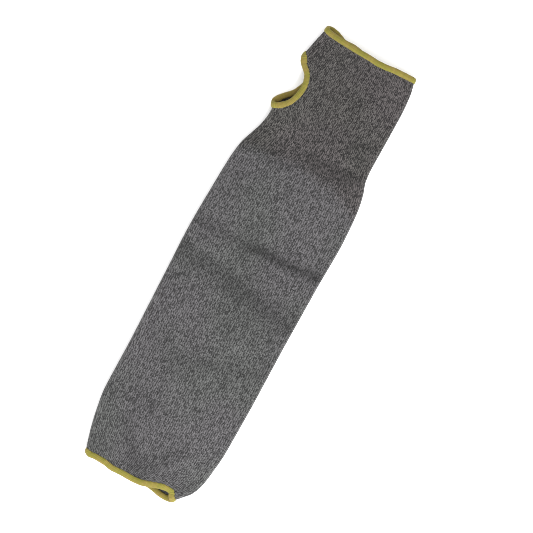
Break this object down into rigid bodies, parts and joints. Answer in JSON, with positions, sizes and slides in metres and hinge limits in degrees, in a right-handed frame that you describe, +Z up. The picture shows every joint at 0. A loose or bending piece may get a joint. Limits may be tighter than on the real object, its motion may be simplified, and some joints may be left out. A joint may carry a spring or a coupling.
{
  "type": "cut resistant sleeve",
  "caption": "Long knitted cut-resistant arm sleeve, laid flat, open at both ends, with a thumb slot in one side fold and overlocked edges.",
  "frame": {"origin": "on the surface that the sleeve lies on, under the middle of its box", "axes": "+X along the sleeve towards the hand, +Y towards the thumb side fold, +Z up out of the surface"},
  "size_m": [0.4576, 0.1324, 0.0145],
  "materials": {
    "grey_knit": "plain knit of dark and light grey marled yarn, matt and slightly hairy",
    "yellow_thread": "mustard yellow overlock stitches packed side by side over the edge"
  },
  "bodies": {
    "root": {"knit_tube": "grey_knit", "hand_edge_overlock": "yellow_thread", "arm_edge_overlock": "yellow_thread", "thumb_slot_overlock": "yellow_thread"}
  },
  "joints": []
}
